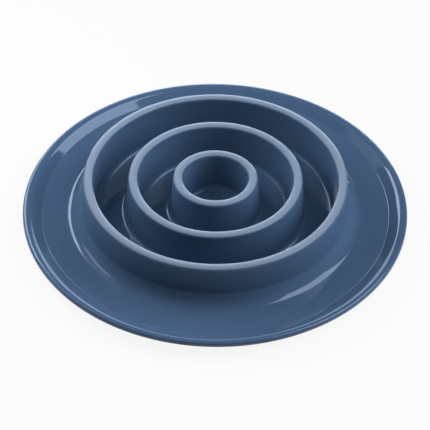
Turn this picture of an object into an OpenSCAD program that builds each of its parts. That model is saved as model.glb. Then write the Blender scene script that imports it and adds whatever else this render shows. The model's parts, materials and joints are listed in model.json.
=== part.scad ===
// Slow feeder bowl: a wide shallow dish with three round walls that make a maze of channels.
// The bowl is one moulded shell of even thickness, so each ring wall is hollow from below.
// It stands on rubber feet that push into blind sockets inside its standing ring.
// The origin is on the bowl's axis, on the surface that the feet stand on. +Z is up.

/* [Bowl] */
// Outside diameter across the lip
rim_d = 260; // [240:5:320]
// Thickness of the moulded shell
shell_t = 2.4; // [2:0.1:2.9]
// Height of the dish floor above the surface that the feet stand on
floor_z = 8; // [7.5:0.5:14]

/* [Lip] */
// Height of the lip's crest above the dish floor
lip_rise = 3.4; // [2.8:0.2:6]
// Width from the foot of the slope to the outside of the lip
lip_w = 12.4; // [11:0.2:18]
// Steepness of the slope inside the lip, in degrees
lip_slope = 24; // [18:1:30]
// Radius of the soft crest on top of the lip
lip_crown_r = 12; // [8:0.5:16]
// Radius of the lip's outer top edge
lip_edge_r = 1.3; // [0.8:0.1:1.6]
// Height of the lip's turned down outer edge
lip_edge_h = 3.4; // [2.6:0.1:5]
// Thickness of that edge
lip_edge_t = 2.2; // [1.8:0.1:2.8]
// Radius of the crease between the dish floor and the slope
crease_r = 2.5; // [1.5:0.5:9]

/* [Ring walls] */
// Number of ring walls
ring_count = 3; // [1:1:3]
// Diameter of the smallest ring wall, along the middle of its top
ring_first_d = 50.4; // [46:0.2:56]
// Distance from one ring wall to the next
ring_pitch = 30; // [26:0.5:34]
// Height of the ring walls above the dish floor
ring_h = 27.7; // [20:0.1:40]
// Thickness of a ring wall where its top starts to round
ring_top_w = 6.8; // [6:0.1:9]
// Draft of the wall faces, in degrees
ring_draft = 3.7; // [1:0.1:5]
// Radius of the crown along the top of a wall
ring_crown_r = 7.5; // [6:0.1:12]
// Radius of the two edges of that crown
ring_edge_r = 1.4; // [0.8:0.1:2]
// Radius at the foot of each wall, in the channels and the centre cup
channel_fillet_r = 3; // [1.5:0.1:5]
// Radius at the foot of the outermost wall, where it runs out into the dish
dish_fillet_r = 10; // [6:0.5:12]

/* [Standing ring] */
// Distance from the foot of the lip's slope in to the standing ring
stand_inset = 4; // [2:0.5:8]
// Thickness of the standing ring
stand_t = 2.4; // [1.8:0.1:3]
// Number of gusset ribs inside the standing ring
rib_count = 12; // [6:6:18]
// Thickness of a rib
rib_t = 1.8; // [1.2:0.1:2.4]
// Height from the bottom edge of the standing ring up to a rib
rib_lift = 1.6; // [0.5:0.1:3]

/* [Feet] */
// Diameter of a foot's pad
foot_d = 14; // [11:0.5:15]
// How far the feet stand out below the standing ring
foot_proud = 1.2; // [0.8:0.1:2.5]
// Depth of the round recess that a pad sits in
seat_depth = 1.6; // [1:0.1:2.2]
// Clearance round a pad in its recess
pad_gap = 0.25; // [0.1:0.05:0.5]
// Wall of a foot boss outside its recess
boss_wall = 1.75; // [1.2:0.05:2.5]
// How far a foot boss runs into the standing ring
boss_lap = 0.7; // [0.4:0.1:0.8]
// Diameter of a foot's stem
stem_d = 5; // [4:0.1:6]
// Length of a foot's stem above its pad
stem_len = 3.2; // [2:0.1:3.4]
// How far the bead on the stem stands out from it
bead_rise = 0.4; // [0.2:0.05:0.6]
// Clearance round the bead in the socket
stem_gap = 0.05; // [0.02:0.01:0.2]
// Clearance above the stem's tip
tip_gap = 0.3; // [0.1:0.05:0.5]
// Radius of the bottom edge of a pad
pad_edge_r = 0.6; // [0.3:0.1:1]
// Diameter of the shallow dimple under a pad
dimple_d = 7; // [4:0.5:9]
// Depth of that dimple
dimple_depth = 0.4; // [0.2:0.1:0.8]

/* [Gate] */
// Diameter of the round well under the centre cup where the mould was filled
gate_d = 10; // [6:1:14]
// Depth of that well
gate_depth = 0.6; // [0.3:0.1:1]
// Diameter of the trimmed stub in the well
stub_d = 3; // [2:0.5:4]

/* [Ejector marks] */
// Diameter of the round marks that the mould's ejector pins left under the channels
ejector_d = 6; // [4:0.5:8]
// Depth of those marks
ejector_depth = 0.3; // [0.1:0.05:0.5]
// Number of marks under each channel
ejector_count = 6; // [4:1:12]

/* [Hidden] */
NODES = ["bowl", "foot_1", "foot_2", "foot_3", "foot_4", "foot_5", "foot_6"];
$fn = 180;
// Every node but the bowl is a foot
foot_count = len(NODES) - 1;
bowl_colour = "#465C7B";
rubber_colour = "#3A3F46";
// How far a cut runs past the face that it opens
overrun = 0.5;

rim_r = rim_d / 2;
under_z = floor_z - shell_t;
ring_top_z = floor_z + ring_h;
lip_top_z = floor_z + lip_rise;
slope_foot_r = rim_r - lip_w;
stand_out_r = slope_foot_r - stand_inset;
stand_in_r = stand_out_r - stand_t;
stand_z = foot_proud;
seat_z = stand_z + seat_depth;
foot_r = foot_d / 2;
recess_r = foot_r + pad_gap;
boss_r = recess_r + boss_wall;
foot_circle_r = stand_in_r - boss_r + boss_lap;
socket_r = stem_d / 2 + bead_rise + stem_gap;
socket_top_z = seat_z + stem_len + tip_gap;

// Step between the points along an arc, in degrees
arc_step = 7.5;

// Point at angle a and distance r from c
function polar(c, r, a) = c + r * [cos(a), sin(a)];

// Points along an arc of radius r about c
function arc(c, r, from, to) =
    let (steps = ceil(abs(to - from) / arc_step))
    [for (i = [0:steps]) polar(c, r, from + (to - from) * i / steps)];

function mirrored(p) = [-p[0], p[1]];

function moved(points, u) = [for (p = points) p + [u, 0]];

// A ring wall's section, with u measured from the middle of the wall and z from the ground.
// Its faces lean in by the draft, and the outer one's normal is face_n.
face_n = [cos(ring_draft), sin(ring_draft)];
face_reach = face_n * [ring_top_w / 2, ring_top_z - ring_edge_r];
// Centre of the crown's arc
crown_c = [0, ring_top_z - ring_crown_r];
// Centre of the edge's arc, which touches both the crown and the wall's face
edge_out = face_reach - ring_edge_r - face_n * crown_c;
edge_up = sqrt(pow(ring_crown_r - ring_edge_r, 2) - pow(edge_out, 2));
edge_c = crown_c + edge_out * face_n + edge_up * [-face_n[1], face_n[0]];
edge_angle = atan2(edge_c[1] - crown_c[1], edge_c[0]);
// Round tip of the hollow inside the wall, which leaves the shell's thickness above it
tip_c = [0, (ring_top_z - face_reach) / (1 - face_n[1])];
tip_r = ring_top_z - shell_t - tip_c[1];

// Middle radius of ring wall k, where wall 0 is the smallest
function ring_r(k) = ring_first_d / 2 + k * ring_pitch;

// Radius of the fillet at the outer foot of ring wall k
function outer_fillet(k) = k == ring_count - 1 ? dish_fillet_r : channel_fillet_r;

// Centre of the fillet of radius r at the outer foot of a wall
function fillet_c(r) = [(face_reach + r - (floor_z + r) * face_n[1]) / face_n[0], floor_z + r];

// Upper side of ring wall k, from the floor inside it to the floor outside it
function ring_top(k) = concat(
    arc(mirrored(fillet_c(channel_fillet_r)), channel_fillet_r, 270, 360 - ring_draft),
    arc(mirrored(edge_c), ring_edge_r, 180 - ring_draft, 180 - edge_angle),
    arc(crown_c, ring_crown_r, 180 - edge_angle, edge_angle),
    arc(edge_c, ring_edge_r, edge_angle, ring_draft),
    arc(fillet_c(outer_fillet(k)), outer_fillet(k), 180 + ring_draft, 270)
);

// Hollow underside of ring wall k, walked back from the outside to the inside
function ring_hollow(k) = concat(
    arc(fillet_c(outer_fillet(k)), outer_fillet(k) + shell_t, 270, 180 + ring_draft),
    arc(tip_c, tip_r, ring_draft, 180 - ring_draft),
    arc(mirrored(fillet_c(channel_fillet_r)), channel_fillet_r + shell_t, 360 - ring_draft, 270)
);

// The lip's section: a crease, a slope, a soft crest and a turned down edge.
// The crest's centre is placed so that the slope's line meets the floor at slope_foot_r.
crease_c = [slope_foot_r - crease_r * tan(lip_slope / 2), floor_z + crease_r];
crest_drop = lip_crown_r * (1 - cos(lip_slope));
crest_run = lip_crown_r * sin(lip_slope) + (lip_rise - crest_drop) / tan(lip_slope);
crest_c = [slope_foot_r + crest_run, lip_top_z - lip_crown_r];
rim_edge_u = rim_r - lip_edge_r - crest_c[0];
rim_edge_c = crest_c + [rim_edge_u, sqrt(pow(lip_crown_r - lip_edge_r, 2) - pow(rim_edge_u, 2))];
rim_edge_angle = atan2(rim_edge_c[1] - crest_c[1], rim_edge_u);
// Bottom of the turned down edge, which is round from its outer face to its inner one
edge_round_r = lip_edge_t / 2;
edge_round_c = [rim_r - edge_round_r, lip_top_z - lip_edge_h + edge_round_r];
crest_under_r = lip_crown_r - shell_t;
// Angle on the crest's underside where the turned down edge's inner face meets it
edge_joint_angle = acos((rim_r - lip_edge_t - crest_c[0]) / crest_under_r);

function lip_top() = concat(
    arc(crease_c, crease_r, 270, 270 + lip_slope),
    arc(crest_c, lip_crown_r, 90 + lip_slope, rim_edge_angle),
    arc(rim_edge_c, lip_edge_r, rim_edge_angle, 0)
);

function lip_under() = concat(
    arc(edge_round_c, edge_round_r, 0, -180),
    arc(crest_c, crest_under_r, edge_joint_angle, 90 + lip_slope),
    arc(crease_c, crease_r + shell_t, 270 + lip_slope, 270)
);

// The standing ring below the floor, with a round bottom edge
stand_round_c = [stand_in_r + stand_t / 2, stand_z + stand_t / 2];

function stand_under() = concat(
    [[stand_out_r, under_z]],
    arc(stand_round_c, stand_t / 2, 0, -180),
    [[stand_in_r, under_z]]
);

// Round well under the centre cup, with the trimmed stub where the mould was filled
function gate_under() = [
    [gate_d / 2, under_z],
    [gate_d / 2, under_z + gate_depth],
    [stub_d / 2, under_z + gate_depth],
    [stub_d / 2, under_z],
    [0, under_z]
];

// The whole section as one outline: out along the top to the lip, and back along the underside
function bowl_outline() = concat(
    [[0, floor_z]],
    [for (k = [0:ring_count - 1]) each moved(ring_top(k), ring_r(k))],
    lip_top(),
    lip_under(),
    stand_under(),
    [for (k = [ring_count - 1:-1:0]) each moved(ring_hollow(k), ring_r(k))],
    gate_under()
);

// Gusset rib that ties the standing ring to the foot of the outermost wall
module rib() {
    k = ring_count - 1;
    c = fillet_c(dish_fillet_r) + [ring_r(k), 0];
    middle_r = dish_fillet_r + shell_t / 2;
    stand_r = stand_in_r + stand_t / 2;
    outline = concat(
        [for (a = [230, 250, 270]) polar(c, middle_r, a)],
        [[stand_r, floor_z - shell_t / 2], [stand_r, stand_z + rib_lift], [c[0] - rib_t, stand_z + rib_lift]]
    );
    rotate([90, 0, 0]) linear_extrude(rib_t, center = true) polygon(outline);
}

module at_feet() {
    for (i = [0:foot_count - 1]) {
        rotate(i * 360 / foot_count) translate([foot_circle_r, 0]) children();
    }
}

// Boss that holds one foot, and the stepped hole that is cut in it
module boss() {
    translate([0, 0, stand_z]) cylinder(r = boss_r, h = floor_z - shell_t / 4 - stand_z);
}

module socket() {
    translate([0, 0, stand_z - overrun]) cylinder(r = recess_r, h = seat_depth + overrun);
    translate([0, 0, seat_z - overrun]) cylinder(r = socket_r, h = socket_top_z - seat_z + overrun);
}

// Marks of the ejector pins, halfway between the ring walls
module ejector_marks() {
    for (k = [0:ring_count - 2]) {
        for (i = [0:ejector_count - 1]) {
            rotate((i + 1 / 2) * 360 / ejector_count) translate([ring_r(k) + ring_pitch / 2, 0, under_z]) {
                cylinder(r = ejector_d / 2, h = 2 * ejector_depth, center = true);
            }
        }
    }
}

module bowl() {
    color(bowl_colour) difference() {
        union() {
            rotate_extrude() polygon(bowl_outline());
            for (i = [0:rib_count - 1]) {
                rotate(i * 360 / rib_count) rib();
            }
            at_feet() boss();
        }
        at_feet() socket();
        ejector_marks();
    }
}

// Section of a foot: a pad with a dimple below, and a stem with a bead that grips the socket
module foot_section() {
    stem_r = stem_d / 2;
    bead_r = stem_r + bead_rise;
    stem_top_z = seat_z + stem_len;
    bead_z = stem_top_z - 3 * bead_rise;
    dimple_r = dimple_d / 2;
    polygon([
        [0, dimple_depth],
        [dimple_r - dimple_depth, dimple_depth],
        [dimple_r, 0],
        [foot_r - pad_edge_r, 0],
        [foot_r, pad_edge_r],
        [foot_r, seat_z],
        [stem_r, seat_z],
        [stem_r, bead_z - bead_rise],
        [bead_r, bead_z],
        [bead_r, bead_z + bead_rise],
        [stem_r - bead_rise, stem_top_z],
        [0, stem_top_z]
    ]);
}

module foot(i) {
    color(rubber_colour) rotate(i * 360 / foot_count) translate([foot_circle_r, 0]) {
        rotate_extrude() foot_section();
    }
}

bowl();
foot(0);  // foot_1
foot(1);  // foot_2
foot(2);  // foot_3
foot(3);  // foot_4
foot(4);  // foot_5
foot(5);  // foot_6
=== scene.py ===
"""The looks of a slow feeder bowl: one glossy moulding with three ring walls, on six rubber feet.

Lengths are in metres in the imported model's frame. The origin is on the bowl's axis, on the surface
that the feet stand on, and +Z is up. A section is drawn in the plane of the axis, as points
(radius, height). Angles are in degrees, and a step is the largest angle between an arc's points.
"""

import json
import logging
import math
from dataclasses import dataclass, field
from enum import Enum
from typing import Iterable, Optional, Sequence, Union

import bpy
from mathutils import Matrix, Vector

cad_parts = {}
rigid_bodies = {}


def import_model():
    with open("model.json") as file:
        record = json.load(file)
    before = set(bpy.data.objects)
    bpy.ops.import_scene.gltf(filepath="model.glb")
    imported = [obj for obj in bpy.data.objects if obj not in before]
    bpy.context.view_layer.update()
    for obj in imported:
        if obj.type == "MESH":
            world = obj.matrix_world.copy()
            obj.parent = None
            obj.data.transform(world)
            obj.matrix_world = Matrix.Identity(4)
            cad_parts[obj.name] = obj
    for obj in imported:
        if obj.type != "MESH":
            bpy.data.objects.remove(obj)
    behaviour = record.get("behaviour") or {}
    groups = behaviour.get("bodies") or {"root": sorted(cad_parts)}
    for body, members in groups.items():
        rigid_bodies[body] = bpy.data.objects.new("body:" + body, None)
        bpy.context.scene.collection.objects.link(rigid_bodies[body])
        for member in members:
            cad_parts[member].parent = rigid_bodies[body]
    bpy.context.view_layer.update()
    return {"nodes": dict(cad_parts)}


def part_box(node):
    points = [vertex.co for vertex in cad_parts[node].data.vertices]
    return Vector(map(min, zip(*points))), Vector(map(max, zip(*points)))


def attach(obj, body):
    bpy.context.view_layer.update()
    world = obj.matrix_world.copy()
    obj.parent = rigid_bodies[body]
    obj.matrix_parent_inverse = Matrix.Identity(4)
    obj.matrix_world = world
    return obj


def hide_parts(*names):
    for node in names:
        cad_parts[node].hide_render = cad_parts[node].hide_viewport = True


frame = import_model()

LOG = logging.getLogger("slow_feeder_bowl")
MM = 0.001
MERGE_DISTANCE = 1e-3 * MM
ROOT = "root"

# Directions in a section, anticlockwise from straight out, and the whole round.
OUT, UP, IN, DOWN, ROUND = 0, 90, 180, 270, 360

# Sockets of a Mix node that is set to colours.
MIX_FIRST, MIX_SECOND, MIX_RESULT = 6, 7, 2

NOISE_MIDDLE = 0.5

Point = tuple[float, float]
Colour = tuple[float, float, float, float]
SocketValue = Union["Wire", float, Sequence[float]]

WHITE: Colour = (1, 1, 1, 1)


class Side(Enum):
    """The two sides of the moulding, with the material slot that each one takes."""

    UNDER = 0
    SHOWN = 1


class Change(Enum):
    """What a closed form does to a piece, with the name of the boolean operation."""

    JOIN = "UNION"
    CUT = "DIFFERENCE"


class Lit(Enum):
    """What a lamp is seen in: the body colour of a surface, or its gloss."""

    BODY = "body"
    GLOSS = "gloss"


def polar(centre: Point, radius: float, degrees: float) -> Point:
    """Finds a point on a circle.

    Args:
        centre: Centre of the circle.
        radius: Its radius.
        degrees: Direction from the centre, anticlockwise from straight out.

    Returns:
        The point.
    """
    angle = math.radians(degrees)
    return centre[0] + radius * math.cos(angle), centre[1] + radius * math.sin(angle)


def arc(centre: Point, radius: float, start: float, stop: float, step: float) -> list[Point]:
    """Draws an arc as points.

    Args:
        centre: Centre of the arc.
        radius: Its radius.
        start: Direction of the first point.
        stop: Direction of the last point.
        step: Largest angle between two points.

    Returns:
        The points, both ends included.
    """
    count = math.ceil(abs(stop - start) / step)
    return [polar(centre, radius, start + (stop - start) * i / count) for i in range(count + 1)]


def moved(points: Iterable[Point], out: float) -> list[Point]:
    """Moves points outwards by a distance."""
    return [(r + out, z) for r, z in points]


@dataclass(frozen=True)
class RingWalls:
    """The three hollow ring walls.

    A wall's section is drawn about its own middle line. top_w is its width at edge_r below the
    top, and first_d is the diameter of the smallest wall's middle line.
    """

    floor_z: float
    shell: float
    height: float
    count: int = 3
    first_d: float = 50.4 * MM
    pitch: float = 30 * MM
    top_w: float = 6.8 * MM
    draft: float = 3.7
    crown_r: float = 7.5 * MM
    edge_r: float = 1.4 * MM
    channel_fillet_r: float = 3 * MM
    dish_fillet_r: float = 10 * MM
    crown_step: float = 3.0
    edge_step: float = 12.0
    fillet_step: float = 6.0
    hollow_top_step: float = 20.0
    hollow_fillet_step: float = 10.0

    @property
    def top_z(self) -> float:
        """Height of the crowns above the ground."""
        return self.floor_z + self.height

    @property
    def face(self) -> Vector:
        """Normal of a wall's outer face, which leans in by the draft."""
        angle = math.radians(self.draft)
        return Vector((math.cos(angle), math.sin(angle)))

    @property
    def reach(self) -> float:
        """Distance of the outer face from the origin of the section, along its normal."""
        return self.face.dot(Vector((self.top_w / 2, self.top_z - self.edge_r)))

    @property
    def crown_centre(self) -> Vector:
        """Centre of the crown's arc."""
        return Vector((0, self.top_z - self.crown_r))

    @property
    def edge_centre(self) -> Vector:
        """Finds the centre of the edge's arc.

        Returns:
            The centre, from which the arc touches the crown and the outer face.
        """
        face = self.face
        out = self.reach - self.edge_r - face.dot(self.crown_centre)
        up = math.sqrt((self.crown_r - self.edge_r) ** 2 - out**2)
        return self.crown_centre + out * face + up * Vector((-face.y, face.x))

    @property
    def edge_angle(self) -> float:
        """Direction in which the crown meets the edge's arc."""
        across = self.edge_centre - self.crown_centre
        return math.degrees(math.atan2(across.y, across.x))

    def middle_r(self, wall: int) -> float:
        """Finds the middle radius of a wall, where wall 0 is the smallest."""
        return self.first_d / 2 + wall * self.pitch

    def outer_fillet_r(self, wall: int) -> float:
        """Finds the radius of the fillet at a wall's outer foot."""
        return self.dish_fillet_r if wall == self.count - 1 else self.channel_fillet_r

    def fillet_centre(self, radius: float) -> Point:
        """Finds the centre of the fillet at the outer foot of a wall.

        Args:
            radius: Radius of the fillet.

        Returns:
            The centre, measured from the middle of the wall.
        """
        height = self.floor_z + radius
        return (self.reach + radius - height * self.face.y) / self.face.x, height

    def shown(self, wall: int) -> list[Point]:
        """Draws the upper side of a wall.

        Args:
            wall: Number of the wall.

        Returns:
            The points, from the floor inside the wall to the floor outside it.
        """
        step, edge_step = self.fillet_step, self.edge_step
        inner_r, outer_r = self.channel_fillet_r, self.outer_fillet_r(wall)
        inner = self.fillet_centre(inner_r)
        edge, angle = self.edge_centre, self.edge_angle
        return [
            *arc((-inner[0], inner[1]), inner_r, DOWN, ROUND - self.draft, step),
            *arc((-edge.x, edge.y), self.edge_r, IN - self.draft, IN - angle, edge_step)[:-1],
            *arc(tuple(self.crown_centre), self.crown_r, IN - angle, angle, self.crown_step),
            *arc(tuple(edge), self.edge_r, angle, self.draft, edge_step)[1:],
            *arc(self.fillet_centre(outer_r), outer_r, IN + self.draft, DOWN, step),
        ]

    def hollow(self, wall: int) -> list[Point]:
        """Draws the hollow under a wall.

        Args:
            wall: Number of the wall.

        Returns:
            The points, from the underside outside the wall back to the underside inside it.
        """
        step, shell = self.hollow_fillet_step, self.shell
        inner_r, outer_r = self.channel_fillet_r, self.outer_fillet_r(wall)
        inner = self.fillet_centre(inner_r)
        tip_z = (self.top_z - self.reach) / (1 - self.face.y)
        tip_r = self.top_z - shell - tip_z
        return [
            *arc(self.fillet_centre(outer_r), outer_r + shell, DOWN, IN + self.draft, step),
            *arc((0, tip_z), tip_r, self.draft, IN - self.draft, self.hollow_top_step),
            *arc((-inner[0], inner[1]), inner_r + shell, ROUND - self.draft, DOWN, step),
        ]


@dataclass(frozen=True)
class Lip:
    """The lip round the dish: a crease, a slope, a soft crest and a turned down edge.

    rise is the height of the crest above the floor, and edge_h reaches down from the crest.
    """

    rim_r: float
    floor_z: float
    shell: float
    rise: float = 3.4 * MM
    width: float = 12.4 * MM
    slope: float = 24.0
    crown_r: float = 12 * MM
    edge_r: float = 1.3 * MM
    edge_h: float = 3.4 * MM
    edge_t: float = 2.2 * MM
    crease_r: float = 2.5 * MM
    shown_step: float = 3.0
    edge_step: float = 12.0
    under_step: float = 12.0

    @property
    def slope_foot_r(self) -> float:
        """Radius at which the slope's line meets the floor."""
        return self.rim_r - self.width

    @property
    def crease_centre(self) -> Point:
        """Centre of the crease's arc."""
        half = math.radians(self.slope / 2)
        return self.slope_foot_r - self.crease_r * math.tan(half), self.floor_z + self.crease_r

    @property
    def crest_centre(self) -> Point:
        """Finds the centre of the crest's arc.

        Returns:
            The centre, placed so that the slope's line meets the floor at its foot.
        """
        slope = math.radians(self.slope)
        drop = self.crown_r * (1 - math.cos(slope))
        run = self.crown_r * math.sin(slope) + (self.rise - drop) / math.tan(slope)
        return self.slope_foot_r + run, self.floor_z + self.rise - self.crown_r

    def shown(self) -> list[Point]:
        """Draws the upper side.

        Returns:
            The points, from the dish floor to the outer face.
        """
        crest = self.crest_centre
        out = self.rim_r - self.edge_r - crest[0]
        up = math.sqrt((self.crown_r - self.edge_r) ** 2 - out**2)
        angle = math.degrees(math.atan2(up, out))
        edge = crest[0] + out, crest[1] + up
        return [
            *arc(self.crease_centre, self.crease_r, DOWN, DOWN + self.slope, self.shown_step),
            *arc(crest, self.crown_r, UP + self.slope, angle, self.shown_step),
            *arc(edge, self.edge_r, angle, OUT, self.edge_step)[1:],
        ]

    def under(self) -> list[Point]:
        """Draws the round bottom of the edge and the underside.

        Returns:
            The points, from the outer face back to the dish floor.
        """
        crest = self.crest_centre
        half = self.edge_t / 2
        bottom = self.rim_r - half, self.floor_z + self.rise - self.edge_h + half
        crown_r, crease_r = self.crown_r - self.shell, self.crease_r + self.shell
        joint = math.degrees(math.acos((self.rim_r - self.edge_t - crest[0]) / crown_r))
        step = self.under_step
        return [
            *arc(bottom, half, OUT, IN - ROUND, step),
            *arc(crest, crown_r, joint, UP + self.slope, step),
            *arc(self.crease_centre, crease_r, DOWN + self.slope, DOWN, step),
        ]


def select_only(*objects: bpy.types.Object) -> None:
    """Selects some objects and nothing else, and makes the first one active.

    Args:
        objects: The objects.
    """
    for other in bpy.context.view_layer.objects:
        other.select_set(False)
    for obj in objects:
        obj.select_set(True)
    bpy.context.view_layer.objects.active = objects[0]


def draw_chain(name: str, runs: Sequence[tuple[Side, Sequence[Point]]]) -> bpy.types.Object:
    """Draws a chain of edges in the plane of the axis by extruding one vertex along it.

    Args:
        name: Name of the new object.
        runs: The stretches of the chain, each with the side that its points belong to.

    Returns:
        The object, in edit mode, with a vertex group for each side.
    """
    start = runs[0][1][0]
    bpy.ops.object.select_all(action="DESELECT")
    bpy.ops.mesh.primitive_plane_add(size=MM)
    obj = bpy.context.object
    obj.name = obj.data.name = name
    bpy.ops.object.mode_set(mode="EDIT")
    bpy.ops.mesh.merge(type="CENTER")
    bpy.ops.transform.translate(value=(start[0], 0, start[1]))
    last = start
    for side, points in runs:
        obj.vertex_groups.new(name=side.name)
        for r, z in points:
            if math.dist((r, z), last) > MERGE_DISTANCE:
                step = (r - last[0], 0, z - last[1])
                bpy.ops.mesh.extrude_region_move(TRANSFORM_OT_translate={"value": step})
                # The new vertex comes with the groups of the one before it.
                bpy.ops.object.vertex_group_remove_from(use_all_groups=True)
                last = (r, z)
            bpy.ops.object.vertex_group_assign()
    return obj


def turn_copies(count: int) -> None:
    """Repeats the mesh in edit mode round the axis, as evenly spaced separate copies.

    Args:
        count: Number of them, with the first.
    """
    turn = 2 * math.pi * (count - 1) / count
    bpy.ops.mesh.select_all(action="SELECT")
    bpy.ops.mesh.spin(
        steps=count - 1, dupli=True, angle=turn, center=(0, 0, 0), axis=(0, 0, 1)
    )


def close_mesh(obj: bpy.types.Object) -> None:
    """Merges doubles, turns the faces outwards and leaves edit mode.

    Args:
        obj: The object, in edit mode.
    """
    bpy.ops.mesh.select_all(action="SELECT")
    bpy.ops.mesh.remove_doubles(threshold=MERGE_DISTANCE)
    bpy.ops.mesh.normals_make_consistent(inside=False)
    bpy.ops.object.mode_set(mode="OBJECT")
    obj.data.update()


def combine(target: bpy.types.Object, tool: bpy.types.Object, change: Change) -> None:
    """Joins a closed form to a piece or cuts it out, and removes the form.

    Args:
        target: The piece.
        tool: The closed form.
        change: What the form does to the piece.
    """
    select_only(target)
    modifier = target.modifiers.new(name=tool.name, type="BOOLEAN")
    modifier.operation = change.value
    modifier.solver = "MANIFOLD"
    modifier.object = tool
    bpy.ops.object.modifier_apply(modifier=modifier.name)
    bpy.data.objects.remove(tool)


@dataclass
class Feet:
    """The rubber feet, which stay the CAD nodes and get their finish here."""

    nodes: tuple[str, ...] = tuple(sorted(n for n in frame["nodes"] if n.startswith("foot_")))
    pad_r: float = field(init=False)
    circle_r: float = field(init=False)
    top_z: float = field(init=False)

    def __post_init__(self) -> None:
        """Takes the sizes from the first foot, which is on the X axis."""
        low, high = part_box(self.nodes[0])
        self.pad_r = (high.x - low.x) / 2
        self.circle_r = (high.x + low.x) / 2
        self.top_z = high.z

    def dress(self, finish: bpy.types.Material) -> None:
        """Gives the feet their finish.

        Args:
            finish: The rubber.
        """
        for name in self.nodes:
            foot = frame["nodes"][name]
            foot.data.materials.clear()
            foot.data.materials.append(finish)
            LOG.info("%s: rubber", name)


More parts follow.
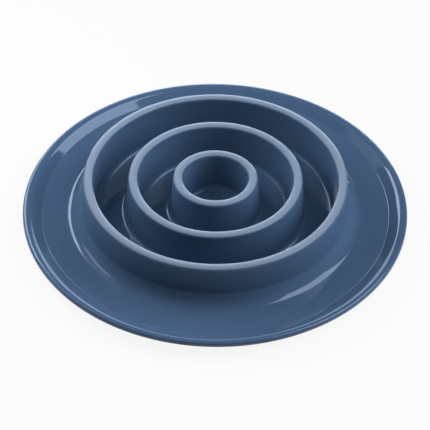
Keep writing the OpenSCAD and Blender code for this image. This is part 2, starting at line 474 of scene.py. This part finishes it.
@dataclass
class Bowl:
    """The moulding: dish, lip, ring walls, standing ring, ribs and foot bosses, in one shell.

    stand_inset is the distance from the foot of the lip's slope in to the standing ring, and
    rib_lift is how far the ribs end above its bottom. A rib follows the dish fillet through the
    directions rib_angles. pad_gap is the gap round a foot's pad, and tip_gap the one above its
    stem. boss_cover is the share of the shell's thickness between a boss and the dish floor, and
    overrun is how far a cutter starts below the face that it opens.
    """

    feet: Feet
    shell: float = 2.4 * MM
    floor_z: float = 8 * MM
    stand_inset: float = 4 * MM
    stand_t: float = 2.4 * MM
    stand_step: float = 10.0
    rib_count: int = 12
    rib_t: float = 1.8 * MM
    rib_lift: float = 1.6 * MM
    rib_angles: tuple[float, ...] = (230, 250, 270)
    pad_gap: float = 0.25 * MM
    boss_wall: float = 1.75 * MM
    boss_cover: float = 0.25
    seat_depth: float = 1.6 * MM
    socket_r: float = 2.95 * MM
    tip_gap: float = 0.3 * MM
    gate_d: float = 10 * MM
    gate_depth: float = 0.6 * MM
    stub_d: float = 3 * MM
    ejector_d: float = 6 * MM
    ejector_depth: float = 0.3 * MM
    ejector_count: int = 6
    segments: int = 240
    tool_segments: int = 64
    overrun: float = 0.5 * MM
    smooth_angle: float = 30.0
    stand_z: float = field(init=False)
    walls: RingWalls = field(init=False)
    lip: Lip = field(init=False)

    def __post_init__(self) -> None:
        """Takes the overall sizes from the frame."""
        low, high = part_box("bowl")
        self.stand_z = low.z
        self.walls = RingWalls(self.floor_z, self.shell, high.z - self.floor_z)
        self.lip = Lip(high.x, self.floor_z, self.shell)

    @property
    def under_z(self) -> float:
        """Height of the underside of the dish floor."""
        return self.floor_z - self.shell

    @property
    def stand_out_r(self) -> float:
        """Outer radius of the standing ring."""
        return self.lip.slope_foot_r - self.stand_inset

    def section(self) -> list[tuple[Side, list[Point]]]:
        """Draws the whole section.

        Returns:
            The shown side out from the axis to the lip, and the underside back to the axis.
        """
        walls, half = self.walls, self.stand_t / 2
        stand_in_r = self.stand_out_r - self.stand_t
        stand_bottom = stand_in_r + half, self.stand_z + half
        gate_r, stub_r = self.gate_d / 2, self.stub_d / 2
        gate_z = self.under_z + self.gate_depth
        order = range(walls.count)
        shown = [
            (0.0, self.floor_z),
            *(p for k in order for p in moved(walls.shown(k), walls.middle_r(k))),
            *self.lip.shown(),
        ]
        under = [
            *self.lip.under(),
            (self.stand_out_r, self.under_z),
            *arc(stand_bottom, half, OUT, IN - ROUND, self.stand_step),
            (stand_in_r, self.under_z),
            *(p for k in reversed(order) for p in moved(walls.hollow(k), walls.middle_r(k))),
            (gate_r, self.under_z),
            (gate_r, gate_z),
            (stub_r, gate_z),
            (stub_r, self.under_z),
            (0.0, self.under_z),
        ]
        return [(Side.SHOWN, shown), (Side.UNDER, under)]

    def shell_piece(self) -> bpy.types.Object:
        """Spins the section into the closed shell.

        Returns:
            The shell.
        """
        obj = draw_chain("bowl_moulding", self.section())
        bpy.ops.mesh.select_all(action="SELECT")
        bpy.ops.mesh.spin(
            steps=self.segments, angle=2 * math.pi, center=(0, 0, 0), axis=(0, 0, 1)
        )
        close_mesh(obj)
        return obj

    def rib_piece(self) -> bpy.types.Object:
        """Models one gusset rib as a thick plate and repeats it round the axis.

        Returns:
            One object that holds all the ribs.
        """
        walls = self.walls
        fillet_r = walls.dish_fillet_r
        out, height = walls.fillet_centre(fillet_r)
        centre = out + walls.middle_r(walls.count - 1), height
        middle_r = fillet_r + self.shell / 2
        stand_r = self.stand_out_r - self.stand_t / 2
        low_z = self.stand_z + self.rib_lift
        outline = [
            *(polar(centre, middle_r, angle) for angle in self.rib_angles),
            (stand_r, self.floor_z - self.shell / 2),
            (stand_r, low_z),
            (centre[0] - self.rib_t, low_z),
        ]
        obj = draw_chain("ribs", [(Side.UNDER, outline)])
        bpy.ops.mesh.select_all(action="SELECT")
        bpy.ops.transform.translate(value=(0, -self.rib_t / 2, 0))
        bpy.ops.mesh.edge_face_add()
        bpy.ops.mesh.extrude_region_move(TRANSFORM_OT_translate={"value": (0, self.rib_t, 0)})
        turn_copies(self.rib_count)
        close_mesh(obj)
        return obj

    def round_tools(
        self, name: str, radius: float, low: float, high: float, circle_r: float, count: int
    ) -> bpy.types.Object:
        """Models upright cylinders on a circle about the axis.

        Args:
            name: Name of the object.
            radius: Radius of each cylinder.
            low: Height of their bottoms.
            high: Height of their tops.
            circle_r: Radius of the circle that they stand on.
            count: Number of cylinders.

        Returns:
            One object that holds them all.
        """
        segments, depth = self.tool_segments, high - low
        bpy.ops.object.select_all(action="DESELECT")
        bpy.ops.mesh.primitive_cylinder_add(vertices=segments, radius=radius, depth=depth)
        obj = bpy.context.object
        obj.name = obj.data.name = name
        bpy.ops.object.mode_set(mode="EDIT")
        bpy.ops.mesh.select_all(action="SELECT")
        bpy.ops.transform.translate(value=(circle_r, 0, (low + high) / 2))
        turn_copies(count)
        close_mesh(obj)
        return obj

    def foot_tools(self, name: str, radius: float, low: float, high: float) -> bpy.types.Object:
        """Models upright cylinders above the feet, with the arguments of round_tools."""
        feet = self.feet
        return self.round_tools(name, radius, low, high, feet.circle_r, len(feet.nodes))

    def ejector_tools(self, channel: int) -> bpy.types.Object:
        """Models what the mould's ejector pins press into the underside of a channel.

        Args:
            channel: Number of the channel, where channel 0 is the smallest.

        Returns:
            One object that holds the marks, in the directions halfway between the feet.
        """
        radius = self.ejector_d / 2
        middle_r = self.walls.middle_r(channel) + self.walls.pitch / 2
        low, high = self.under_z - self.overrun, self.under_z + self.ejector_depth
        count = self.ejector_count
        tools = self.round_tools("ejector_marks", radius, low, high, middle_r, count)
        tools.data.transform(Matrix.Rotation(math.pi / count, 4, "Z"))
        return tools

    def build(self) -> bpy.types.Object:
        """Models the moulding and lets it stand for the CAD node.

        Returns:
            The finished piece.
        """
        recess_r = self.feet.pad_r + self.pad_gap
        boss_r = recess_r + self.boss_wall
        boss_top = self.floor_z - self.boss_cover * self.shell
        seat_z = self.stand_z + self.seat_depth
        below = self.stand_z - self.overrun
        socket_low = seat_z - self.overrun
        socket_top = self.feet.top_z + self.tip_gap
        piece = self.shell_piece()
        combine(piece, self.rib_piece(), Change.JOIN)
        combine(piece, self.foot_tools("bosses", boss_r, self.stand_z, boss_top), Change.JOIN)
        combine(piece, self.foot_tools("recesses", recess_r, below, seat_z), Change.CUT)
        sockets = self.foot_tools("sockets", self.socket_r, socket_low, socket_top)
        combine(piece, sockets, Change.CUT)
        for channel in range(self.walls.count - 1):
            combine(piece, self.ejector_tools(channel), Change.CUT)
        # The cuts leave pairs of points that are almost in one place.
        select_only(piece)
        bpy.ops.object.mode_set(mode="EDIT")
        close_mesh(piece)
        bpy.ops.object.shade_smooth_by_angle(angle=math.radians(self.smooth_angle))
        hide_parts("bowl")
        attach(piece, ROOT)
        return piece

    def dress(
        self, piece: bpy.types.Object, shown: bpy.types.Material, under: bpy.types.Material
    ) -> None:
        """Gives each side of the moulding its finish.

        Args:
            piece: The moulding.
            shown: Finish of the upper side.
            under: Finish of the underside.
        """
        finishes = {Side.UNDER: under, Side.SHOWN: shown}
        piece.data.materials.clear()
        for side in Side:
            piece.data.materials.append(finishes[side])
        select_only(piece)
        group = piece.vertex_groups.get(Side.SHOWN.name)
        piece.vertex_groups.active_index = group.index
        bpy.ops.object.mode_set(mode="EDIT")
        bpy.ops.mesh.select_all(action="DESELECT")
        bpy.ops.object.vertex_group_select()
        piece.active_material_index = Side.SHOWN.value
        bpy.ops.object.material_slot_assign()
        bpy.ops.object.mode_set(mode="OBJECT")


@dataclass(frozen=True)
class Wire:
    """One value in a shader, with the arithmetic that is written as Python expressions."""

    graph: "Graph"
    socket: bpy.types.NodeSocket

    def math(self, operation: str, first: SocketValue, second: SocketValue) -> "Wire":
        """Adds a Math node of an operation on two values."""
        settings = {"operation": operation}
        return self.graph.node("ShaderNodeMath", settings, {0: first, 1: second}).wire()

    def __add__(self, other: SocketValue) -> "Wire":
        """Adds a value."""
        return self.math("ADD", self, other)

    def __radd__(self, other: SocketValue) -> "Wire":
        """Adds this to a value."""
        return self.math("ADD", other, self)

    def __sub__(self, other: SocketValue) -> "Wire":
        """Subtracts a value."""
        return self.math("SUBTRACT", self, other)

    def __rsub__(self, other: SocketValue) -> "Wire":
        """Subtracts this from a value."""
        return self.math("SUBTRACT", other, self)

    def __mul__(self, other: SocketValue) -> "Wire":
        """Multiplies by a value."""
        return self.math("MULTIPLY", self, other)

    def __rmul__(self, other: SocketValue) -> "Wire":
        """Multiplies a value by this."""
        return self.math("MULTIPLY", other, self)


@dataclass(frozen=True)
class Made:
    """A node that a graph has made."""

    graph: "Graph"
    node: bpy.types.Node

    def wire(self, output: Union[int, str] = 0) -> Wire:
        """Takes one of the node's outputs."""
        return Wire(self.graph, self.node.outputs[output])


@dataclass(frozen=True)
class Noise:
    """A noise pattern: its features' size, and how many and how strong its finer layers are."""

    size: float
    detail: float = 2.0
    roughness: float = 0.5


class Graph:
    """The nodes of a material or of the world."""

    def __init__(
        self, tree: bpy.types.NodeTree, material: Optional[bpy.types.Material] = None
    ) -> None:
        """Starts from an emptied tree.

        Args:
            tree: The node tree.
            material: The material that the tree belongs to, if it isn't the world's.
        """
        self.tree = tree
        self.material = material
        self.tree.nodes.clear()

    @classmethod
    def of_material(cls, name: str) -> "Graph":
        """Starts the graph of a new material.

        Args:
            name: Name of the material.

        Returns:
            The graph.
        """
        material = bpy.data.materials.new(name)
        material.use_nodes = True
        return cls(material.node_tree, material)

    def node(
        self,
        kind: str,
        settings: dict[str, object],
        inputs: dict[Union[int, str], SocketValue],
    ) -> Made:
        """Makes any node.

        Args:
            kind: Type of the node.
            settings: Its properties, which are set first.
            inputs: Values or wires for its sockets.

        Returns:
            The node.
        """
        made = self.tree.nodes.new(kind)
        for key, value in settings.items():
            setattr(made, key, value)
        for key, value in inputs.items():
            if isinstance(value, Wire):
                self.tree.links.new(value.socket, made.inputs[key])
            else:
                made.inputs[key].default_value = value
        return Made(self, made)

    def coordinates(self) -> Wire:
        """Takes the Object coordinates, in metres."""
        return self.node("ShaderNodeTexCoord", {}, {}).wire("Object")

    def noise(self, pattern: Noise) -> Wire:
        """Makes a noise pattern.

        Args:
            pattern: What the noise is like.

        Returns:
            Values about NOISE_MIDDLE.
        """
        inputs = {
            "Vector": self.coordinates(),
            "Scale": 1 / pattern.size,
            "Detail": pattern.detail,
            "Roughness": pattern.roughness,
        }
        return self.node("ShaderNodeTexNoise", {}, inputs).wire()

    def height_mask(self, low: float, high: float) -> Wire:
        """Makes a mask that rises softly with height.

        Args:
            low: Height at which it leaves 0.
            high: Height at which it reaches 1.

        Returns:
            The mask.
        """
        axes = self.node("ShaderNodeSeparateXYZ", {}, {0: self.coordinates()})
        settings = {"interpolation_type": "SMOOTHSTEP"}
        limits = {"Value": axes.wire("Z"), "From Min": low, "From Max": high}
        return self.node("ShaderNodeMapRange", settings, limits).wire()

    def mix_colour(self, factor: SocketValue, first: SocketValue, second: SocketValue) -> Wire:
        """Mixes two colours by a factor."""
        inputs = {0: factor, MIX_FIRST: first, MIX_SECOND: second}
        return self.node("ShaderNodeMix", {"data_type": "RGBA"}, inputs).wire(MIX_RESULT)

    def bump(self, height: Wire, depth: float, normal: Optional[Wire] = None) -> Wire:
        """Makes a bumped normal.

        Args:
            height: Pattern of the relief, from 0 to 1.
            depth: Depth of the relief.
            normal: A normal to start from.

        Returns:
            The normal.
        """
        inputs = {"Height": height, "Distance": depth, "Strength": 1.0}
        if normal is not None:
            inputs["Normal"] = normal
        return self.node("ShaderNodeBump", {}, inputs).wire()

    def finish(self, shader: Wire) -> bpy.types.Material:
        """Ends the material with a shader."""
        self.node("ShaderNodeOutputMaterial", {}, {"Surface": shader})
        return self.material

    def principled(self, inputs: dict[Union[int, str], SocketValue]) -> bpy.types.Material:
        """Ends the material with a Principled shader of some inputs."""
        return self.finish(self.node("ShaderNodeBsdfPrincipled", {}, inputs).wire())


@dataclass(frozen=True)
class GlossPlastic:
    """Slate blue plastic from a polished mould, coloured through.

    The ring walls come from grooves in the mould, which are harder to polish. Their faces are
    duller than the floors from wall_low to edge_low, the edges of their tops are polished again,
    and the tops, which come from the bottoms of the grooves, are satin above satin_and_sheen_low.
    Above that height the tops also take a paler colour, a painted sheen that stands in for the
    light that falls on them.
    """

    name: str
    colour: Colour = (0.052, 0.098, 0.182, 1)
    pale: Colour = (0.060, 0.109, 0.198, 1)
    # Paler colour of the ring tops: a painted sheen that stands in for the light on them.
    painted_sheen: Colour = (0.136, 0.184, 0.262, 1)
    specular_tint: Colour = (0.90, 0.95, 1.0, 1)
    ior: float = 1.45
    gloss: float = 0.045
    satin: float = 0.42
    wall_satin: float = 0.22
    wall_low: float = 11 * MM
    wall_high: float = 17 * MM
    edge_low: float = 33.0 * MM
    edge_high: float = 34.2 * MM
    satin_and_sheen_low: float = 35.14 * MM
    satin_and_sheen_high: float = 35.32 * MM
    patches: Noise = Noise(35 * MM)
    smears: Noise = Noise(6 * MM, 4.0, 0.6)
    smear_range: float = 0.03
    peel: Noise = Noise(3 * MM, 1.0)
    peel_depth: float = 0.004 * MM
    grain: Noise = Noise(0.25 * MM, 1.0)
    grain_depth: float = 0.010 * MM

    def material(self) -> bpy.types.Material:
        """Builds the material of the shown side.

        Returns:
            The material.
        """
        graph = Graph.of_material(self.name)
        # Mask of the ring tops, for their satin roughness, their grain and their painted sheen.
        tops = graph.height_mask(self.satin_and_sheen_low, self.satin_and_sheen_high)
        edges = graph.height_mask(self.edge_low, self.edge_high)
        walls = graph.height_mask(self.wall_low, self.wall_high) - edges
        plain = graph.mix_colour(graph.noise(self.patches), self.colour, self.pale)
        gloss = self.gloss + self.smear_range * (graph.noise(self.smears) - NOISE_MIDDLE)
        peel = graph.bump(graph.noise(self.peel), self.peel_depth)
        inputs = {
            # The tops take the paler colour: a painted sheen, not a colour of the plastic.
            "Base Color": graph.mix_colour(tops, plain, self.painted_sheen),
            "Roughness": gloss + self.wall_satin * walls + (self.satin - gloss) * tops,
            "IOR": self.ior,
            "Normal": graph.bump(graph.noise(self.grain) * tops, self.grain_depth, peel),
            "Specular Tint": self.specular_tint,
        }
        return graph.principled(inputs)


@dataclass(frozen=True)
class SatinPlastic:
    """The same plastic on the underside, where the mould is only stoned and not polished."""

    name: str
    colour: Colour = (0.050, 0.094, 0.174, 1)
    pale: Colour = (0.060, 0.108, 0.194, 1)
    ior: float = 1.49
    satin: float = 0.34
    patches: Noise = Noise(18 * MM, 3.0)
    smears: Noise = Noise(5 * MM, 4.0)
    smear_range: float = 0.12
    grain: Noise = Noise(0.4 * MM, 1.0)
    grain_depth: float = 0.012 * MM

    def material(self) -> bpy.types.Material:
        """Builds the material of the underside.

        Returns:
            The material.
        """
        graph = Graph.of_material(self.name)
        smears = graph.noise(self.smears) - NOISE_MIDDLE
        inputs = {
            "Base Color": graph.mix_colour(graph.noise(self.patches), self.colour, self.pale),
            "Roughness": self.satin + self.smear_range * smears,
            "IOR": self.ior,
            "Normal": graph.bump(graph.noise(self.grain), self.grain_depth),
        }
        return graph.principled(inputs)


@dataclass(frozen=True)
class Rubber:
    """Dark matt rubber with a fine grain, a little scuffed where it meets the ground."""

    name: str
    colour: Colour = (0.040, 0.045, 0.052, 1)
    scuffed: Colour = (0.085, 0.088, 0.092, 1)
    matt: float = 0.72
    scuffs: Noise = Noise(1.5 * MM, 4.0, 0.7)
    scuff_height: float = 0.8 * MM
    scuff_range: float = 0.16
    grain: Noise = Noise(0.3 * MM)
    grain_depth: float = 0.02 * MM

    def material(self) -> bpy.types.Material:
        """Builds the material of the feet.

        Returns:
            The material.
        """
        graph = Graph.of_material(self.name)
        scuffs = (1 - graph.height_mask(0, self.scuff_height)) * graph.noise(self.scuffs)
        inputs = {
            "Base Color": graph.mix_colour(scuffs, self.colour, self.scuffed),
            "Roughness": self.matt + self.scuff_range * scuffs,
            "Normal": graph.bump(graph.noise(self.grain), self.grain_depth),
        }
        return graph.principled(inputs)


@dataclass(frozen=True)
class SoftBox:
    """A rectangular soft lamp that looks at the bowl.

    It either lights the body colour alone, or is seen in the gloss alone, where it has the colour
    gleam. So the shading and the reflections are set apart from each other. The azimuth is
    measured from +Y towards +X.
    """

    name: str
    azimuth: float
    elevation: float
    distance: float
    width: float
    height: float
    radiance: float
    lit: Lit = Lit.GLOSS
    gleam: tuple[float, float, float] = (0.70, 0.83, 1.0)

    def build(self, target: Vector) -> bpy.types.Object:
        """Hangs the lamp.

        Args:
            target: Point that it looks at.

        Returns:
            The lamp.
        """
        azimuth, elevation = math.radians(self.azimuth), math.radians(self.elevation)
        across = math.cos(elevation)
        direction = Vector(
            (math.sin(azimuth) * across, math.cos(azimuth) * across, math.sin(elevation))
        )
        data = bpy.data.lights.new(self.name, "AREA")
        data.shape = "RECTANGLE"
        data.size, data.size_y = self.width, self.height
        data.energy = self.radiance * math.pi * self.width * self.height
        light = bpy.data.objects.new(self.name, data)
        bpy.context.scene.collection.objects.link(light)
        place = Matrix.Translation(target + self.distance * direction)
        light.matrix_world = place @ direction.to_track_quat("Z", "Y").to_matrix().to_4x4()
        if self.lit is Lit.GLOSS:
            data.color = self.gleam
        light.visible_glossy = self.lit is Lit.GLOSS
        light.visible_diffuse = self.lit is Lit.BODY
        return light


@dataclass(frozen=True)
class Studio:
    """Camera, soft lamps, world and floor.

    middle_px is where the camera's target falls in the frame, and focal_px is the focal length,
    both in the frame's pixels. world_level is the world's strength for all but camera rays, and
    glow_share is how much of the floor's look is its own white, for the rays that show it.
    """

    distance: float = 1.3
    elevation: float = 42.62
    roll: float = 0.74
    focal_px: float = 1917.5
    frame_px: float = 430.0
    sensor: float = 36.0
    middle_px: Point = (215.11, 205.6)
    middle_z: float = 9.84 * MM
    world_level: float = 0.02
    floor_size: float = 12.0
    floor_colour: Colour = (0.6, 0.6, 0.6, 1)
    glow_share: float = 0.90
    # Name, azimuth, elevation, distance, width, height and radiance of each lamp.
    boxes: tuple[SoftBox, ...] = (
        SoftBox("right_fill", 80, 30, 1.6, 1.4, 1.3, 5.2, Lit.BODY),
        SoftBox("left_fill", -46, 15, 1.6, 1.2, 0.8, 5.4, Lit.BODY),
        SoftBox("near_left", -74, 44, 0.46, 0.30, 0.26, 5.8, Lit.BODY),
        SoftBox("near_front", 150, 66, 0.5, 0.30, 0.20, 3.3, Lit.BODY),
        SoftBox("near_right", 105, 24, 0.5, 0.26, 0.20, 1.0, Lit.BODY),
        SoftBox("right_box", 50, 60, 1.3, 0.82, 0.46, 5.8),
        SoftBox("slim_box", -20, 40.5, 3.0, 0.62, 0.68, 8.2),
        SoftBox("left_box", -62, 47, 1.3, 0.28, 0.46, 3.0),
        SoftBox("pale_box", -29, 51.5, 1.3, 0.40, 0.28, 0.9),
        SoftBox("back_box", 0, 31.5, 6.0, 3.0, 1.1, 4.5),
        SoftBox("low_back_box", 0, 17, 6.0, 3.0, 2.0, 1.6),
        SoftBox("low_box", 0, 7, 1.6, 1.9, 0.40, 9.6),
    )

    @property
    def target(self) -> Vector:
        """Point on the bowl's axis that the camera looks at."""
        return Vector((0, 0, self.middle_z))

    def camera(self) -> bpy.types.Object:
        """Makes the camera at the photograph's viewing angle.

        Returns:
            The camera.
        """
        data = bpy.data.cameras.new("camera")
        data.sensor_width = self.sensor
        data.lens = self.focal_px / self.frame_px * self.sensor
        middle = self.frame_px / 2
        data.shift_x = (middle - self.middle_px[0]) / self.frame_px
        data.shift_y = (self.middle_px[1] - middle) / self.frame_px
        camera = bpy.data.objects.new("camera", data)
        bpy.context.scene.collection.objects.link(camera)
        tilt = Matrix.Rotation(math.radians(90 - self.elevation), 4, "X")
        roll = Matrix.Rotation(math.radians(self.roll), 4, "Z")
        back = (tilt.to_3x3() @ Vector((0, 0, 1))) * self.distance
        camera.matrix_world = Matrix.Translation(self.target + back) @ tilt @ roll
        bpy.context.scene.camera = camera
        return camera

    def floor(self) -> bpy.types.Object:
        """Lays the plain pale floor.

        Returns:
            The floor.
        """
        bpy.ops.object.select_all(action="DESELECT")
        bpy.ops.mesh.primitive_plane_add(size=self.floor_size)
        floor = bpy.context.object
        floor.name = "floor"
        floor.data.materials.append(self.floor_material())
        return floor

    def floor_material(self) -> bpy.types.Material:
        """Builds the floor's material.

        Returns:
            The material, white to the camera, with the object's shadow kept.
        """
        graph = Graph.of_material("pale_floor")
        paths = graph.node("ShaderNodeLightPath", {}, {})
        seen = paths.wire("Is Camera Ray") + paths.wire("Is Glossy Ray")
        seen = seen + paths.wire("Is Transmission Ray")
        paper = graph.node("ShaderNodeBsdfDiffuse", {}, {"Color": self.floor_colour}).wire()
        glow = graph.node("ShaderNodeEmission", {}, {"Color": WHITE, "Strength": 1.0}).wire()
        inputs = {0: self.glow_share * seen, 1: paper, 2: glow}
        return graph.finish(graph.node("ShaderNodeMixShader", {}, inputs).wire())

    def world(self) -> None:
        """Sets the dim even light from all round, and white behind the floor for the camera."""
        world = bpy.data.worlds.new("studio")
        bpy.context.scene.world = world
        world.use_nodes = True
        graph = Graph(world.node_tree)
        seen = graph.node("ShaderNodeLightPath", {}, {}).wire("Is Camera Ray")
        strength = self.world_level + (1 - self.world_level) * seen
        inputs = {"Color": WHITE, "Strength": strength}
        light = graph.node("ShaderNodeBackground", {}, inputs).wire()
        graph.node("ShaderNodeOutputWorld", {}, {"Surface": light})

    def lamps(self) -> None:
        """Hangs the soft lamps."""
        for box in self.boxes:
            box.build(self.target)


def main() -> None:
    """Builds the scene piece by piece."""
    logging.basicConfig(level=logging.INFO, format="%(message)s")
    studio = Studio()
    studio.camera()
    feet = Feet()
    bowl = Bowl(feet)
    piece = bowl.build()
    gloss = GlossPlastic("gloss_slate_plastic").material()
    satin = SatinPlastic("satin_slate_plastic").material()
    bowl.dress(piece, gloss, satin)
    LOG.info("%s: %d faces", piece.name, len(piece.data.polygons))
    feet.dress(Rubber("foot_rubber").material())
    studio.floor()
    studio.lamps()
    studio.world()
    bpy.context.scene.view_settings.view_transform = "Standard"


if __name__ == "__main__":
    main()
